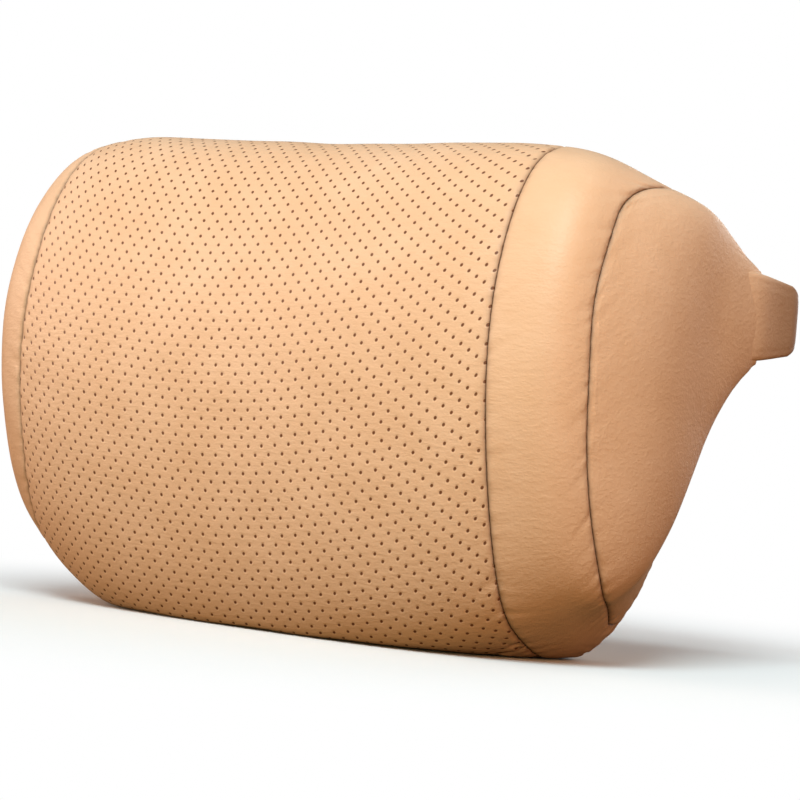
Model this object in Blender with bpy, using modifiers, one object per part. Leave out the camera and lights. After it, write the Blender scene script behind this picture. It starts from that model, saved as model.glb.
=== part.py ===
"""Head-and-neck rest cushion: padded leather body, tapering side wings and a buckled elastic strap.

Metres, +Z up, the padded front faces -Y. Lengths below are in millimetres and are scaled once.
"""

import bmesh
import bpy
import numpy as np
from mathutils import Matrix, Vector

MM = 0.001

# Cover layers, measured inwards from the outside of the leather
LEATHER = 1.2
TAPE_TOP = 1.5
TAPE_BOTTOM = 2.1
FOAM_DEPTH = 2.6
SEAM_GAP = 0.3

# Flat faces of the body
BASE_Z = -88.0
REAR_Y = 80.0
REAR_FLAT_END = 2.0
REAR_FLARE = 60.0

# Where the pieces meet, counted in stations outwards from the middle
FRONT_SEAM = 2.66
SIDE_SEAM = 4.72
WING_FOAM_START = 4.0
WING_FOAM_GAP = 0.12
REAR_SEAM = 3.3
COVER_END = 9.55
FOAM_END = 8.0

# Half the open line left between two neighbouring panels, in stations and round the section
EDGE_GAP = 0.012
TURN_GAP = 0.03

# Where the pieces meet, counted round the section from the front
TOP_REAR_SEAM = 5.05
BASE_REAR_SEAM = 9.75
BASE_FRONT_SEAM = 11.3

# Grip pad on the rear
GRIP_WIDE = 120.0
GRIP_HIGH = 76.0
GRIP_Z = 14.0
GRIP_THICK = 0.8

# Zip
TAPE_HIGH = 10.0
TAPE_OFFSET = 5.3
ZIP_Z = -50.0
ZIP_HALF = 72.0
ZIP_WINDOW = 4.5
COIL_HALF_HEIGHT = 1.6
SLIDER_TRAVEL = 60.0
PULL_OFFSET = 3.6

# Strap
STRAP_WIDTH = 20.0
STRAP_Z = 34.0
BUCKLE_HIGH = 27.6
PRONG_OFFSET = 8.7
STRAP_Y = 147.0
STRAP_THICK = 1.6
TAB_THICK = 2.6
TAB_X = 137.5
TAB_TURN = 10.0
TAB_START_Y = 119.5

# Outline of one section: depth from front (0) to rear (1), height from underside (-1) to top (1)
SECTION = np.array(
    [
        (-0.01, -0.10),
        (0.015, 0.22),
        (0.10, 0.55),
        (0.30, 0.93),
        (0.66, 1.06),
        (0.95, 0.93),
        (1.02, 0.55),
        (1.00, 0.10),
        (1.02, -0.45),
        (0.98, -0.90),
        (0.80, -1.02),
        (0.50, -1.02),
        (0.27, -1.01),
        (0.12, -0.80),
        (0.02, -0.45),
    ]
)

# Sections from the middle of the cushion to the wing tip:
# front x, front y, rear x, rear y, top at front, top at rear, underside at front, underside at rear
STATIONS = np.array(
    [
        (0, 0, 0, 82, 83, 84, -94, -97),
        (50, -1.5, 45, 82, 86, 83.5, -90, -98),
        (92.5, 1, 82, 82, 89, 83, -79, -99),
        (119.5, 8, 99, 87.5, 92, 79, -60, -98),
        (132, 14, 108.5, 92, 91, 72, -56, -87),
        (138, 30.5, 118, 96, 81, 70.5, -70, -64),
        (143.5, 52, 124, 98, 74.5, 69, -67, -30),
        (142.5, 72, 129.5, 103.5, 68, 66, -37.5, -5),
        (139.5, 90, 131, 110, 60, 60, -6.5, 10),
        (139.5, 109.5, 133, 117, 51.5, 52, 13.5, 16.5),
        (139.5, 122, 134.5, 124, 48, 48, 20, 20),
    ],
    float,
)

parts = bpy.data.collections.new("head_rest_cushion")
cutters = bpy.data.collections.new("cutters")


def clear_scene():
    for item in list(bpy.data.objects):
        bpy.data.objects.remove(item, do_unlink=True)
    bpy.context.scene.collection.children.link(parts)
    bpy.context.scene.collection.children.link(cutters)
    cutters.hide_render = True


def material(name, color, roughness, metallic=0.0):
    made = bpy.data.materials.new(name)
    made.use_nodes = True
    shader = made.node_tree.nodes["Principled BSDF"]
    shader.inputs["Base Color"].default_value = (*color, 1.0)
    shader.inputs["Roughness"].default_value = roughness
    shader.inputs["Metallic"].default_value = metallic
    made.diffuse_color = (*color, 1.0)
    return made


def leather(name):
    return material(name, (0.78, 0.50, 0.30), 0.5)


def foam(name):
    return material(name, (0.86, 0.82, 0.70), 0.9)


def black_plastic(name):
    return material(name, (0.03, 0.028, 0.025), 0.45)


def webbing(name):
    return material(name, (0.42, 0.26, 0.15), 0.85)


def zinc(name):
    return material(name, (0.62, 0.53, 0.38), 0.3, 1.0)


def spline_weights(t):
    return np.array([(1 - t) ** 3, 3 * t**3 - 6 * t**2 + 4, -3 * t**3 + 3 * t**2 + 3 * t + 1, t**3]) / 6


def section_ring(station):
    front_x, front_y, rear_x, rear_y, top_front, top_rear, low_front, low_rear = station
    depth = SECTION[:, 0]
    height = SECTION[:, 1]
    top = top_front + (top_rear - top_front) * depth
    low = low_front + (low_rear - low_front) * depth
    x = front_x + (rear_x - front_x) * depth
    y = front_y + (rear_y - front_y) * depth
    z = (top + low) / 2 + (top - low) / 2 * height
    return np.stack([x, y, z], -1)


def control_rings():
    rings = [section_ring(station) for station in STATIONS]
    mirrored = rings[1] * np.array([-1.0, 1.0, 1.0])
    beyond = 2 * rings[-1] - rings[-2]
    return np.array([mirrored, *rings, beyond])


RINGS = control_rings()


def rear_limit(across):
    """The rear is pressed flat in the middle and free at the wings."""
    return REAR_Y + REAR_FLARE * max(0.0, across - REAR_FLAT_END) ** 2


def cover_point(across, around):
    """A point on the outside of the cushion; negative across is the left half."""
    side = -1.0 if across < 0 else 1.0
    across = abs(across)
    first = min(int(across), len(STATIONS) - 2)
    along = spline_weights(across - first)
    row = np.tensordot(along, RINGS[first : first + 4], axes=(0, 0))
    count = len(SECTION)
    place = around % count
    low = int(place)
    near = [(low + step) % count for step in (-1, 0, 1, 2)]
    point = spline_weights(place - low) @ row[near]
    point[2] = max(point[2], BASE_Z)
    point[1] = min(point[1], rear_limit(across))
    point[0] *= side
    return point


def cover_layer(across, around, depth):
    """The same point moved inwards by depth along the surface normal."""
    step = 0.04
    side = cover_point(across + step, around) - cover_point(across - step, around)
    up = cover_point(across, around + step) - cover_point(across, around - step)
    normal = np.cross(up, side)
    normal /= np.linalg.norm(normal)
    return cover_point(across, around) + normal * depth


def new_part(name, mesh, look):
    made = bpy.data.objects.new(name, mesh)
    mesh.materials.append(look)
    parts.objects.link(made)
    return made


def solid_from_grids(name, outer, inner, look):
    """A solid between two matching grids of points, closed along its free edges."""
    rows, columns = outer.shape[:2]
    shell = bmesh.new()
    front = [[shell.verts.new(point * MM) for point in row] for row in outer]
    back = [[shell.verts.new(point * MM) for point in row] for row in inner]
    spans = columns - 1
    for i in range(rows - 1):
        for j in range(spans):
            k = j + 1
            shell.faces.new((front[i][j], front[i][k], front[i + 1][k], front[i + 1][j]))
            shell.faces.new((back[i][j], back[i + 1][j], back[i + 1][k], back[i][k]))
    for j in range(spans):
        k = j + 1
        shell.faces.new((front[0][j], back[0][j], back[0][k], front[0][k]))
        shell.faces.new((front[-1][j], front[-1][k], back[-1][k], back[-1][j]))
    for i in range(rows - 1):
        shell.faces.new((front[i][0], front[i + 1][0], back[i + 1][0], back[i][0]))
        shell.faces.new((front[i][-1], back[i][-1], back[i + 1][-1], front[i + 1][-1]))
    bmesh.ops.recalc_face_normals(shell, faces=shell.faces)
    mesh = bpy.data.meshes.new(name)
    shell.to_mesh(mesh)
    shell.free()
    for face in mesh.polygons:
        face.use_smooth = True
    return new_part(name, mesh, look)


def cover_panel(name, across, around, counts, look, layers=(0.0, LEATHER)):
    """A leather panel between two lines across and two lines around; its first edge around may follow a function."""
    columns = np.linspace(across[0], across[1], counts[0])
    starts = [around[0](c) if callable(around[0]) else around[0] for c in columns]
    rows = [[start + (around[1] - start) * share for start in starts] for share in np.linspace(0.0, 1.0, counts[1])]
    grids = [np.array([[cover_layer(c, r, depth) for c, r in zip(columns, row)] for row in rows]) for depth in layers]
    return solid_from_grids(name, grids[0], grids[1], look)


def foam_block(name, across, count, look):
    """A closed length of the foam inside the cover."""
    columns = np.linspace(across[0], across[1], count)
    round_count = 40
    rows = np.linspace(0.0, len(SECTION), round_count, endpoint=False)
    block = bmesh.new()
    rings = [[block.verts.new(cover_layer(c, r, FOAM_DEPTH) * MM) for r in rows] for c in columns]
    for i in range(count - 1):
        for j in range(round_count):
            k = (j + 1) % round_count
            block.faces.new((rings[i][j], rings[i][k], rings[i + 1][k], rings[i + 1][j]))
    for ring in (rings[0], rings[-1]):
        middle = block.verts.new(sum((vertex.co for vertex in ring), Vector()) / round_count)
        for j in range(round_count):
            block.faces.new((ring[j], ring[(j + 1) % round_count], middle))
    bmesh.ops.remove_doubles(block, verts=block.verts, dist=0.00004)
    bmesh.ops.recalc_face_normals(block, faces=block.faces)
    mesh = bpy.data.meshes.new(name)
    block.to_mesh(mesh)
    block.free()
    return new_part(name, mesh, look)


def box(name, size, centre, look, bevel=0.0, origin=None, home=parts):
    """A block of the given size in millimetres, with its edges rounded."""
    bpy.ops.mesh.primitive_cube_add(size=1.0, location=(0, 0, 0))
    made = bpy.context.object
    made.name = name
    made.data.name = name
    origin = Vector(origin if origin else centre)
    shift = Matrix.Translation((Vector(centre) - origin) * MM)
    made.data.transform(shift @ Matrix.Diagonal((*[side * MM for side in size], 1.0)))
    made.location = origin * MM
    for holder in list(made.users_collection):
        holder.objects.unlink(made)
    home.objects.link(made)
    if look:
        made.data.materials.append(look)
    if bevel:
        rounding = made.modifiers.new("rounding", "BEVEL")
        rounding.width = bevel * MM
        rounding.segments = 2
        rounding.limit_method = "ANGLE"
    return made


def cut(target, size, centre):
    """Removes a block from the target."""
    tool = box(target.name + "_cut", size, centre, None, home=cutters)
    tool.display_type = "WIRE"
    tool.hide_render = True
    step = target.modifiers.new("cut", "BOOLEAN")
    step.operation = "DIFFERENCE"
    step.solver = "EXACT"
    step.object = tool


def join(target, size, centre):
    """Adds a block to the target."""
    tool = box(target.name + "_join", size, centre, None, home=cutters)
    tool.display_type = "WIRE"
    tool.hide_render = True
    step = target.modifiers.new("join", "BOOLEAN")
    step.operation = "UNION"
    step.solver = "EXACT"
    step.object = tool


def ribbon(name, path, thick, heights, look):
    """A flat band that follows a path seen from above; heights gives its lower and upper edge along it."""
    path = np.array(path, float)
    along = np.gradient(path, axis=0)
    along /= np.linalg.norm(along, axis=1)[:, None]
    across = np.stack([-along[:, 1], along[:, 0]], -1)
    grids = []
    for offset in (-thick / 2, thick / 2):
        line = path + across * offset
        low = np.column_stack([line, heights[:, 0]])
        high = np.column_stack([line, heights[:, 1]])
        grids.append(np.stack([low, high], 1))
    return solid_from_grids(name, grids[0], grids[1], look)


def arc(centre, radius, start, end, count):
    angles = np.radians(np.linspace(start, end, count))
    return [(centre[0] + radius * np.cos(a), centre[1] + radius * np.sin(a)) for a in angles]


def padding():
    foam_block("foam_core", (-WING_FOAM_START, WING_FOAM_START), 25, foam("foam_core"))
    start = WING_FOAM_START + WING_FOAM_GAP
    foam_block("right_wing_foam", (start, FOAM_END), 14, foam("right_wing_foam"))
    foam_block("left_wing_foam", (-FOAM_END, -start), 14, foam("left_wing_foam"))


def cover():
    gap = EDGE_GAP
    turn_gap = TURN_GAP
    front_limits = (BASE_FRONT_SEAM + turn_gap, len(SECTION) + TOP_REAR_SEAM - turn_gap)
    side_limits = (BASE_REAR_SEAM + turn_gap, len(SECTION) + TOP_REAR_SEAM - turn_gap)
    rear_limits = (TOP_REAR_SEAM + turn_gap, BASE_REAR_SEAM - turn_gap)
    cover_panel("front_panel", (-FRONT_SEAM + gap, FRONT_SEAM - gap), front_limits, (25, 24), leather("front_panel"))
    cover_panel(
        "base_panel",
        (-FRONT_SEAM + gap, FRONT_SEAM - gap),
        (BASE_REAR_SEAM + turn_gap, BASE_FRONT_SEAM - turn_gap),
        (21, 6),
        leather("base_panel"),
    )
    for side, sign in (("right", 1.0), ("left", -1.0)):
        band = (sign * (FRONT_SEAM + gap), sign * (SIDE_SEAM - gap))
        cover_panel(side + "_band", band, side_limits, (8, 26), leather(side + "_band"))
        end = (sign * (SIDE_SEAM + gap), sign * COVER_END)
        cover_panel(side + "_end_panel", end, side_limits, (17, 22), leather(side + "_end_panel"))
        lining = (sign * (REAR_SEAM + gap), sign * COVER_END)
        cover_panel(side + "_wing_lining", lining, rear_limits, (20, 10), leather(side + "_wing_lining"))
    rear_across = (-REAR_SEAM + gap, REAR_SEAM - gap)
    upper_limits = (rear_limits[0], rear_split(ZIP_Z + ZIP_WINDOW))
    cover_panel("rear_panel_upper", rear_across, upper_limits, (21, 10), leather("rear_panel_upper"))
    cover_panel("rear_panel_lower", rear_across, (zip_lower_edge, rear_limits[1]), (41, 6), leather("rear_panel_lower"))


def rear_split(height):
    """Where round the section the rear face reaches the given height."""
    places = np.linspace(TOP_REAR_SEAM, BASE_REAR_SEAM, 400)
    heights = [cover_point(0.0, place)[2] for place in places]
    return float(places[int(np.argmin(np.abs(np.array(heights) - height)))])


def zip_lower_edge(across):
    """Top edge of the lower rear panel: below the zip, and up against the upper panel beyond its ends."""
    below = rear_split(ZIP_Z - ZIP_WINDOW)
    beside = rear_split(ZIP_Z + ZIP_WINDOW - SEAM_GAP)
    past_end = cover_point(abs(across), below)[0] - (ZIP_HALF + 1.0)
    share = min(max(past_end / 6.0, 0.0), 1.0)
    return below + (beside - below) * share


def rear_fittings():
    rubber = material("antislip_pad", (0.10, 0.09, 0.08), 0.8)
    box("antislip_pad", (GRIP_WIDE, GRIP_THICK, GRIP_HIGH), (0, REAR_Y + GRIP_THICK, GRIP_Z), rubber, 0.3)
    tape_depth = TAPE_BOTTOM - TAPE_TOP
    tape_y = REAR_Y - (TAPE_TOP + TAPE_BOTTOM) / 2
    for name, sign in (("zip_tape_upper", 1.0), ("zip_tape_lower", -1.0)):
        fabric = material(name, (0.50, 0.32, 0.19), 0.85)
        box(name, (2 * ZIP_HALF, tape_depth, TAPE_HIGH), (0, tape_y, ZIP_Z + sign * TAPE_OFFSET), fabric)
    for name, sign in (("zip_coil_upper", 1.0), ("zip_coil_lower", -1.0)):
        box(
            name,
            (2 * ZIP_HALF - 8, 1.1, COIL_HALF_HEIGHT - 0.15),
            (0, REAR_Y - 0.6, ZIP_Z + sign * (COIL_HALF_HEIGHT / 2 + 0.08)),
            material(name, (0.40, 0.25, 0.14), 0.4),
            0.3,
        )
    for name, sign in (("zip_stop_left", -1.0), ("zip_stop_right", 1.0)):
        box(name, (2.4, 1.6, 4.6), (sign * (ZIP_HALF - 2.2), REAR_Y - 0.4, ZIP_Z), zinc(name), 0.4)
    zipper_slider()


def turned_bar(target, radius, length, centre, operation="UNION"):
    """Joins a round bar along X to the target, or cuts it away."""
    bpy.ops.mesh.primitive_cylinder_add(
        vertices=24,
        radius=radius * MM,
        depth=length * MM,
        location=Vector(centre) * MM,
        rotation=(0.0, np.pi / 2, 0.0),
    )
    bar = bpy.context.object
    bar.name = target.name + "_bar"
    for home in list(bar.users_collection):
        home.objects.unlink(bar)
    cutters.objects.link(bar)
    bar.hide_render = True
    bar.display_type = "WIRE"
    modifier = target.modifiers.new("bar", "BOOLEAN")
    modifier.operation = operation
    modifier.solver = "EXACT"
    modifier.object = bar


def zipper_slider():
    """Slider over the coil with a bridge bar; the pull's rolled eye turns on the bar."""
    rest = -SLIDER_TRAVEL
    face = REAR_Y + 0.35
    bar_y = face + PULL_OFFSET
    slider = box("zip_slider", (9.0, 1.6, 6.6), (rest, face + 0.8, ZIP_Z), zinc("zip_slider"), 0.4)
    for sign in (-1.0, 1.0):
        join(slider, (1.2, PULL_OFFSET, 2.0), (rest + sign * 2.8, face + 1.2 + PULL_OFFSET / 2, ZIP_Z))
    turned_bar(slider, 0.6, 6.0, (rest, bar_y, ZIP_Z))
    pivot = (rest, bar_y, ZIP_Z)
    pull = box("zip_pull", (3.4, 1.0, 22.0), (rest, bar_y, ZIP_Z - 12.0), zinc("zip_pull"), 0.3, origin=pivot)
    turned_bar(pull, 1.65, 3.4, pivot)
    turned_bar(pull, 0.95, 5.0, pivot, "DIFFERENCE")
    cut(pull, (1.8, 3.0, 12.0), (rest, bar_y, ZIP_Z - 14.0))


def strap_tabs():
    """Leather tabs sewn into the wing tips; they turn inwards behind the head rest and hold the strap."""
    for side, sign in (("right", 1.0), ("left", -1.0)):
        turn_y = STRAP_Y - TAB_TURN
        path = [(TAB_X - 0.6, TAB_START_Y), (TAB_X - 0.4, TAB_START_Y + 5.0), (TAB_X, turn_y)]
        path += arc((TAB_X - TAB_TURN, turn_y), TAB_TURN, 0.0, 90.0, 9)[1:]
        path += [(TAB_X - TAB_TURN - 8.0, STRAP_Y), (TAB_X - TAB_TURN - 20.0, STRAP_Y)]
        path = [(sign * x, y) for x, y in path]
        neck = STRAP_WIDTH / 2 + 1.0
        halves = [neck + 0.5, neck + 2.0] + list(np.linspace(neck + 1.5, neck, len(path) - 4)) + [neck, neck]
        heights = np.array([(STRAP_Z - half, STRAP_Z + half) for half in halves])
        ribbon(side + "_strap_tab", path, TAB_THICK, heights, leather(side + "_strap_tab"))


def straps():
    """Elastic webbing: the right length carries the adjuster and the socket, the left one carries the plug."""
    inner = STRAP_Y - TAB_THICK / 2 - SEAM_GAP - STRAP_THICK / 2
    half = STRAP_WIDTH / 2
    for name, sign, end in (("right_strap", 1.0, 22.0), ("left_strap", -1.0, 30.0)):
        path = [(118.0, inner), (90.0, inner), (60.0, inner), (end, inner)]
        path = [(sign * x, y) for x, y in path]
        heights = np.array([(STRAP_Z - half, STRAP_Z + half)] * len(path))
        ribbon(name, path, STRAP_THICK, heights, webbing(name))
    return inner


def tri_glide(strap_y):
    """Adjuster with a middle bar outside the webbing and two end bars behind it."""
    centre_x = 62.0
    high = STRAP_WIDTH + 7.0
    glide = box("tri_glide", (20.0, 5.6, high), (centre_x, strap_y, STRAP_Z), black_plastic("tri_glide"), 0.8)
    cut(glide, (30.0, 2.4, STRAP_WIDTH + 1.4), (centre_x, strap_y, STRAP_Z))
    cut(glide, (13.0, 3.0, STRAP_WIDTH + 1.4), (centre_x, strap_y - 2.4, STRAP_Z))
    for sign in (-1.0, 1.0):
        cut(glide, (8.0, 3.0, STRAP_WIDTH + 1.4), (centre_x + sign * 7.2, strap_y + 2.4, STRAP_Z))


def buckle(strap_y):
    """Side-release buckle: hollow socket on the right strap, plug with two springy prongs on the left strap."""
    plastic = black_plastic("buckle_socket")
    socket = box("buckle_socket", (34.0, 10.0, BUCKLE_HIGH), (4.0, strap_y, STRAP_Z), plastic, 1.2)
    cut(socket, (27.0, 6.4, BUCKLE_HIGH - 4.0), (-1.0, strap_y, STRAP_Z))
    cut(socket, (12.0, 6.4, BUCKLE_HIGH + 20.0), (0.0, strap_y, STRAP_Z))
    cut(socket, (6.0, 2.4, STRAP_WIDTH + 1.0), (21.0, strap_y, STRAP_Z))
    plug = box("buckle_plug", (18.0, 8.0, BUCKLE_HIGH - 1.6), (-23.0, strap_y, STRAP_Z), black_plastic("buckle_plug"), 1.0)
    cut(plug, (6.0, 2.4, STRAP_WIDTH + 1.0), (-31.0, strap_y, STRAP_Z))
    join(plug, (22.0, 4.0, 4.4), (-6.0, strap_y, STRAP_Z))
    for name, sign in (("buckle_prong_upper", 1.0), ("buckle_prong_lower", -1.0)):
        arm = STRAP_Z + sign * PRONG_OFFSET
        root = (-13.2, strap_y, arm)
        prong = box(name, (17.0, 4.2, 2.4), (-4.6, strap_y, arm), black_plastic(name), 0.5, origin=root)
        join(prong, (8.6, 4.2, 4.2), (0.0, strap_y, arm + sign * 2.2))


def centre_on_base():
    """Moves everything so that the middle of the underside is the origin."""
    bpy.context.view_layer.update()
    graph = bpy.context.evaluated_depsgraph_get()
    corners = []
    for item in parts.objects:
        evaluated = item.evaluated_get(graph)
        corners += [evaluated.matrix_world @ vertex.co for vertex in evaluated.data.vertices]
    corners = np.array(corners)
    low = corners.min(axis=0)
    high = corners.max(axis=0)
    shift = Vector((-(low[0] + high[0]) / 2, -(low[1] + high[1]) / 2, -low[2]))
    for item in list(parts.objects) + list(cutters.objects):
        item.location += shift
    print("moved by", [round(value / MM, 3) for value in shift], "size", np.round((high - low) / MM, 2))


clear_scene()
padding()
cover()
rear_fittings()
strap_tabs()
strap_line = straps()
tri_glide(strap_line)
buckle(strap_line)
centre_on_base()
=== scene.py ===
import math

import bmesh
import bpy
import numpy as np
from mathutils import Matrix, Vector


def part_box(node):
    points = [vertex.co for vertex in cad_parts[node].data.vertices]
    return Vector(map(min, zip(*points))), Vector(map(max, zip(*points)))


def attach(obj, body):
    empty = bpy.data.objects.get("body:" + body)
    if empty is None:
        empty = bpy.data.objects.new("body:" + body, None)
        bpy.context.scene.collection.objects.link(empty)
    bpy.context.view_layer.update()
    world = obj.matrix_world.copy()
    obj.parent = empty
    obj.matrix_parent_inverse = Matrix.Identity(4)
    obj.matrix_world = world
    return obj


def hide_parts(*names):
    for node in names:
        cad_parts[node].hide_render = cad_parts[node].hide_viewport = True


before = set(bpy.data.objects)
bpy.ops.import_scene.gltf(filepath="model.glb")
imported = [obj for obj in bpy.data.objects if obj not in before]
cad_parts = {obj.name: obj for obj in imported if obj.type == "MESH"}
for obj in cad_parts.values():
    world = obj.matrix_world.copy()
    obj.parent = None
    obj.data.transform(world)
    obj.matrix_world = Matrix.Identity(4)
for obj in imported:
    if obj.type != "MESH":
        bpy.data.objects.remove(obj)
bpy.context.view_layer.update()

MM = 0.001

# The cushion's own frame: where the middle of the front panel sits
BODY_SHIFT = np.array([0.0, -74.334, 88.0])

# Sewing
LEATHER = 1.2
GROOVE = 1.15
SLIGHT_GROOVE = 0.8
FAINT_GROOVE = 0.3
WING_GROOVE = 0.12
GROOVE_WIDTH = 3.0
STITCH_PITCH = 3.6
HOLE_PITCH = 6.25
HOLE_ROW_TURN = math.radians(3.2)
BASE_Z = -88.0
REAR_Y = 80.0
FRONT_SEAM = 2.66
SIDE_SEAM = 4.72
REAR_SEAM = 3.3
WING_TIP = 9.6
TOP_REAR_SEAM = 5.05
BASE_REAR_SEAM = 9.75
BASE_FRONT_SEAM = 10.95
ZIP_Z = -50.0
ZIP_WINDOW = 4.5
ZIP_END = 73.0

# Outline of one section: depth from front (0) to rear (1), height from underside (-1) to top (1)
SECTION = np.array(
    [
        (-0.01, -0.10),
        (0.015, 0.22),
        (0.10, 0.55),
        (0.30, 0.93),
        (0.66, 1.06),
        (0.95, 0.93),
        (1.02, 0.55),
        (1.00, 0.10),
        (1.02, -0.45),
        (0.98, -0.90),
        (0.80, -1.02),
        (0.50, -1.02),
        (0.27, -1.01),
        (0.12, -0.80),
        (0.02, -0.45),
    ]
)

# Sections from the middle of the cushion to the wing tip:
# front x, front y, rear x, rear y, top at front, top at rear, underside at front, underside at rear
STATIONS = np.array(
    [
        (0, 0, 0, 82, 83, 84, -94, -97),
        (50, -1.5, 45, 82, 86, 83.5, -90, -98),
        (92.5, 1, 82, 82, 89, 83, -79, -99),
        (119.5, 8, 99, 87.5, 92, 79, -60, -98),
        (132, 14, 108.5, 92, 91, 72, -56, -87),
        (138, 30.5, 118, 96, 81, 70.5, -70, -64),
        (143.5, 52, 124, 98, 74.5, 69, -67, -30),
        (142.5, 72, 129.5, 103.5, 68, 66, -37.5, -5),
        (139.5, 90, 131, 110, 60, 60, -6.5, 10),
        (139.5, 109.5, 133, 117, 51.5, 52, 13.5, 16.5),
        (139.5, 122, 134.5, 124, 48, 48, 20, 20),
    ],
    float,
)


def section_ring(station):
    front_x, front_y, rear_x, rear_y, top_front, top_rear, low_front, low_rear = station
    depth = SECTION[:, 0]
    height = SECTION[:, 1]
    top = top_front + (top_rear - top_front) * depth
    low = low_front + (low_rear - low_front) * depth
    x = front_x + (rear_x - front_x) * depth
    y = front_y + (rear_y - front_y) * depth
    z = (top + low) / 2 + (top - low) / 2 * height
    return np.stack([x, y, z], -1)


def control_rings():
    rings = [section_ring(station) for station in STATIONS]
    mirrored = rings[1] * np.array([-1.0, 1.0, 1.0])
    beyond = 2 * rings[-1] - rings[-2]
    return np.array([mirrored, *rings, beyond])


RINGS = control_rings()


def spline_weights(t):
    return np.stack([(1 - t) ** 3, 3 * t**3 - 6 * t**2 + 4, -3 * t**3 + 3 * t**2 + 3 * t + 1, t**3]) / 6


def soft_least(value, limit, softness):
    """The larger of the two, with a rounded change between them."""
    return limit + softness * np.logaddexp(0.0, (value - limit) / softness)


def cover_point(across, around):
    """Points on the outside of the cushion, for arrays of places across and around it."""
    across, around = np.broadcast_arrays(np.asarray(across, float), np.asarray(around, float))
    side = np.where(across < 0, -1.0, 1.0)
    far = np.abs(across)
    first = np.clip(far.astype(int), 0, len(STATIONS) - 2)
    along = spline_weights(far - first)
    count = len(SECTION)
    place = np.mod(around, count)
    low = place.astype(int)
    turn = spline_weights(place - low)
    points = np.zeros(across.shape + (3,))
    for i in range(4):
        for j in range(4):
            weight = (along[i] * turn[j])[..., None]
            points += weight * RINGS[first + i, (low - 1 + j) % count]
    rear = REAR_Y + 60.0 * np.maximum(0.0, far - 2.0) ** 2
    points[..., 2] = soft_least(points[..., 2], BASE_Z, 0.7)
    points[..., 1] = -soft_least(-points[..., 1], -rear, 0.5)
    points[..., 0] *= side
    return points


def cover_normal(across, around):
    """The outward direction at those places."""
    step = 0.03
    side = cover_point(across + step, around) - cover_point(across - step, around)
    up = cover_point(across, around + step) - cover_point(across, around - step)
    normal = np.cross(side, up)
    return normal / np.linalg.norm(normal, axis=-1, keepdims=True)


def crowded(low, high, count, strength=0.72):
    """Steps from low to high, closer together near both ends."""
    t = np.linspace(0.0, 1.0, count)
    eased = (1 - np.cos(np.pi * t)) / 2
    return low + (high - low) * ((1 - strength) * t + strength * eased)


def running_length(points, axis):
    steps = np.linalg.norm(np.diff(points, axis=axis), axis=-1)
    zero = np.zeros_like(np.take(steps, [0], axis=axis))
    return np.concatenate([zero, np.cumsum(steps, axis=axis)], axis=axis)


def ripple(length, pitch, seed):
    """A smooth uneven wave along a length, about one crest each pitch."""
    chance = np.random.default_rng(seed)
    total = np.zeros_like(length)
    for share in (0.62, 0.8, 1.0, 1.27, 1.7, 2.3):
        phase = chance.uniform(0, 2 * np.pi)
        drift = chance.uniform(0, 2 * np.pi)
        swing = 1.6 * np.sin(length / (pitch * 5.3) + drift)
        total += np.sin(2 * np.pi * length / (pitch * share) + phase + swing)
    return total / 3.0


def groove(distance, width, depth):
    """How far the leather is pulled in beside a seam."""
    near = np.clip(1.0 - distance / width, 0.0, 1.0)
    return depth * (1.0 - np.sqrt(1.0 - near**2 * 0.985))


def undulation(points, seed):
    """Slow swells of the padding, in millimetres."""
    chance = np.random.default_rng(seed)
    total = np.zeros(points.shape[:-1])
    for size in (70.0, 46.0, 31.0, 22.0):
        for _ in range(3):
            way = chance.normal(size=3)
            way /= np.linalg.norm(way)
            total += np.sin(2 * np.pi * (points @ way) / size + chance.uniform(0, 6.28)) * size / 300.0
    return total


def face_grid(rows, columns):
    index = np.arange(rows * columns).reshape(rows, columns)
    corners = [index[:-1, :-1], index[:-1, 1:], index[1:, 1:], index[1:, :-1]]
    return np.stack(corners, -1).reshape(-1, 4)


def panel_grid(across, around, counts):
    """Where a panel's grid lies on the cover. An edge is a place, or a function that gives one."""
    share, climb = np.meshgrid(crowded(0.0, 1.0, counts[0]), crowded(0.0, 1.0, counts[1]))
    if callable(around[0]):
        grid_a = across[0] + (across[1] - across[0]) * share
        start = around[0](grid_a)
        return grid_a, start + (around[1] - start) * climb
    grid_r = around[0] + (around[1] - around[0]) * climb
    low, high = (edge(grid_r) if callable(edge) else edge for edge in across)
    return low + (high - low) * share, grid_r


def sewn_edges(edges, shape, seed):
    """How far the seams pull the leather in, and how close each point is to one, kept as painted shade in the
    seam grooves.
    """
    pull = np.zeros(shape)
    painted_seam_shade = np.zeros(shape)
    for number, (distance, along, depth) in enumerate(edges):
        if depth <= 0:
            continue
        pull = np.maximum(pull, groove(distance, GROOVE_WIDTH, depth))
        stitched = 0.85 + 0.15 * np.cos(2 * np.pi * along / STITCH_PITCH)
        # Painted shade: dark groove shade close to each seam, broken at the stitch spacing, later mixed into
        # the leather colour.
        painted_seam_shade = np.maximum(painted_seam_shade, np.exp(-distance / 0.75) * stitched * min(1.0, depth / GROOVE))
        reach = np.exp(-(distance / 7.0) ** 1.4) * (1 - np.exp(-(distance / 0.8) ** 2))
        skew = along + 0.35 * distance * np.sin(along / 37.0)
        pull += 0.34 * reach * ripple(skew, 6.8, seed + number) * min(1.0, depth)
        sewn = np.clip(np.cos(2 * np.pi * along / STITCH_PITCH), 0, 1) ** 2
        pull += 0.16 * sewn * np.exp(-((distance - 1.7) / 1.0) ** 2)
    return pull, painted_seam_shade


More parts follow.
